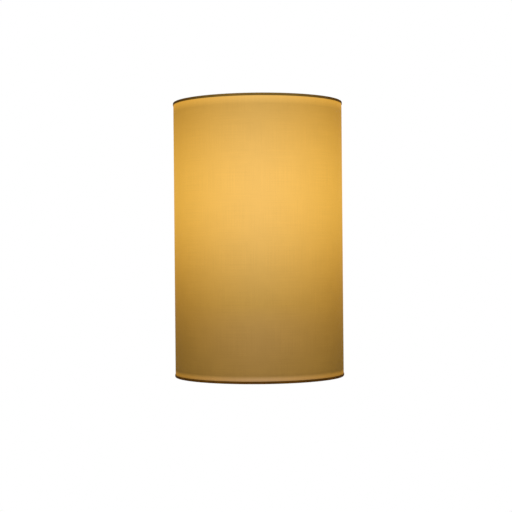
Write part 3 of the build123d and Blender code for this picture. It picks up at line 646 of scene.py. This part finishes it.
def make_floor():
    bm = bmesh.new()
    bmesh.ops.create_circle(bm, cap_ends=True, segments=96, radius=FLOOR_RADIUS)
    bmesh.ops.translate(bm, verts=bm.verts, vec=(0, 0, FLOOR_Z))
    mesh = bpy.data.meshes.new("studio_floor")
    bm.to_mesh(mesh)
    bm.free()
    floor = bpy.data.objects.new("studio_floor", mesh)
    bpy.context.scene.collection.objects.link(floor)
    pale = Finish("pale_floor", (0.80, 0.80, 0.79), 0.9)
    pale.to("Roughness", pale.spread(pale.noise(pale.place(), 3), 0.3, 0.7, 0.85, 0.95))
    rays = pale.node("ShaderNodeLightPath").outputs
    mirrored = pale.work_out("MAXIMUM", rays["Is Glossy Ray"], rays["Is Transmission Ray"])
    seen = pale.work_out("MAXIMUM", rays["Is Camera Ray"], mirrored)
    pale.to("Emission Strength", pale.times(seen, 0.60))
    pale.set("Emission Color", (1, 1, 0.99, 1))
    mesh.materials.append(pale.material)


def make_world():
    """Soft room light, and a white ground that only the camera and mirrored rays see."""
    world = bpy.data.worlds.new("studio")
    bpy.context.scene.world = world
    world.use_nodes = True
    nodes, links = world.node_tree.nodes, world.node_tree.links
    nodes.clear()
    rays = nodes.new("ShaderNodeLightPath").outputs
    mirrored = brighter_of(nodes, links, rays["Is Glossy Ray"], rays["Is Transmission Ray"])
    choice = nodes.new("ShaderNodeMixShader")
    links.new(brighter_of(nodes, links, rays["Is Camera Ray"], mirrored), choice.inputs[0])
    backgrounds = (((1.0, 0.985, 0.96, 1), 0.30), ((1, 1, 1, 1), 1.0))
    for socket, (colour, strength) in zip(choice.inputs[1:], backgrounds):
        background = nodes.new("ShaderNodeBackground")
        background.inputs["Color"].default_value = colour
        background.inputs["Strength"].default_value = strength
        links.new(background.outputs[0], socket)
    ground = nodes.new("ShaderNodeOutputWorld")
    links.new(choice.outputs[0], ground.inputs["Surface"])


def soft_lamp(name, place, power):
    data = bpy.data.lights.new(name, "AREA")
    data.size = LAMP_SIZE
    data.energy = power
    lamp = bpy.data.objects.new(name, data)
    lamp.location = place
    lamp.rotation_mode = "QUATERNION"
    lamp.rotation_quaternion = (AXIS - Vector(place)).to_track_quat("-Z", "Y")
    bpy.context.scene.collection.objects.link(lamp)


def make_camera():
    """Stands level in front of the shade's axis, with the photograph's frame and slight roll."""
    data = bpy.data.cameras.new("photo_camera")
    data.sensor_width = SENSOR
    data.lens = PHOTO_FOCUS / PHOTO_SIDE * SENSOR
    data.shift_x = -2.65 / PHOTO_SIDE
    data.shift_y = -2.35 / PHOTO_SIDE
    camera = bpy.data.objects.new("photo_camera", data)
    camera.location = (0, AXIS.y - CAMERA_DISTANCE, CAMERA_Z)
    camera.rotation_mode = "QUATERNION"
    roll = Matrix.Rotation(radians(CAMERA_ROLL), 4, "Z").to_quaternion()
    camera.rotation_quaternion = Vector((0, 1, 0)).to_track_quat("-Z", "Y") @ roll
    bpy.context.scene.collection.objects.link(camera)
    bpy.context.scene.camera = camera


# ------------------------------------------------------------------ the shade
cloth_finish = woven_cloth()
tape_finish = binding_weave()
shade_cloth = make_shade_cloth(cloth_finish)
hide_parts("shade_fabric")
for end, up in (("top", 1), ("bottom", -1)):
    tape = make_binding(f"{end}_binding_tape", tape_finish, up)
    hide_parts(f"{end}_binding")

# ------------------------------------------------------------------ the solids' finishes, threads and welds
finishes = make_finishes()
dress_frame(finishes)
make_screw_cap(finishes[slot_of["lamp_screw_cap"]])

# Each screw is its radius, pitch, length and place, and its bore if it has one.
M4, M3, M10 = (0.0020, 0.0007), (0.0015, 0.0005), (0.0050, 0.0010)
PLATE_Y = -0.0015
make_screws(
    "plate_stud_threads", "plate_studs", finishes["zinc"],
    [
        (*M4, 0.0075, (0, PLATE_Y, -0.022)),
        (*M4, 0.0075, (0, PLATE_Y, -0.042)),
        (*M4, 0.0063, (-0.044, PLATE_Y, -0.053)),
    ],
)
make_screws(
    "block_stud_threads", "block_studs", finishes["zinc"],
    [(*M3, 0.0129, (x, PLATE_Y, -0.005)) for x in (-0.039, -0.029)],
)
make_screws("nipple_thread", "nipple", finishes["zinc"], [(*M10, 0.0145, (0, AXIS.y, -0.0635), 0.0037)])
make_beads(
    "frame_brazing", finishes["frame_wire"], "shade",
    [(x, -0.0043, z) for x in (-0.0750, 0.0750) for z in (-0.115, 0.115)], 0.00175, (1.3, 1.0, 1.15),
)
make_beads(
    "hook_welds", finishes["white_enamel"], "wall_bracket",
    [(x, -0.0030, z) for x in (-0.038, 0.038) for z in (0.1085, 0.1025, -0.1215, -0.1275)],
    0.0017, (1.0, 0.16, 1.0),
)

# ------------------------------------------------------------------ the leads, from the block on
strands = surface(
    "copper_strands", (0.75, 0.42, 0.27), 0.35, 1.0,
    cloud=(800, 0.8, 1.1), grain=(1500, 0.8, 0.0001), stretch=(3, 3, 0.3),
).material
brown_sleeve = sleeve_of("sleeve_brown", (0.17, 0.065, 0.028)).material
blue_sleeve = sleeve_of("sleeve_blue", (0.035, 0.11, 0.42)).material
make_lead(
    "live_lead_sleeve", "live_lead", brown_sleeve,
    [
        (-0.034, -0.0061, -0.012), (-0.034, -0.0061, -0.044), (-0.029, -0.017, -0.064),
        (-0.018, -0.038, -0.075), (-0.0019, -0.065, -0.076), (-0.0019, -0.065, -0.0455),
        (-0.0085, -0.065, -0.0385), (-0.0085, -0.065, -0.034),
    ],
    strands,
)
make_lead(
    "neutral_lead_sleeve", "neutral_lead", blue_sleeve,
    [
        (-0.024, -0.0061, -0.012), (-0.024, -0.0061, -0.042), (-0.020, -0.018, -0.062),
        (-0.011, -0.039, -0.074), (0.0019, -0.065, -0.076), (0.0019, -0.065, -0.0455),
        (0.0085, -0.065, -0.0385), (0.0085, -0.065, -0.034),
    ],
    strands,
)
make_lead(
    "earth_lead_sleeve", "earth_lead", striped_sleeve().material,
    [
        (-0.044, -0.0061, -0.012), (-0.044, -0.0061, -0.020), (-0.043, -0.010, -0.028),
        (-0.044, -0.0040, -0.037), (-0.044, -0.0040, -0.0428),
    ],
    strands,
)

# ------------------------------------------------------------------ the studio
make_floor()
make_world()
soft_lamp("key_softbox", (-0.3, -2.5, 0.9), 41)
soft_lamp("fill_softbox", (1.1, -2.2, 0.1), 13)
soft_lamp("back_softbox", (0.6, 2.0, 1.2), 14)
make_camera()
bpy.context.scene.view_settings.view_transform = "Standard"
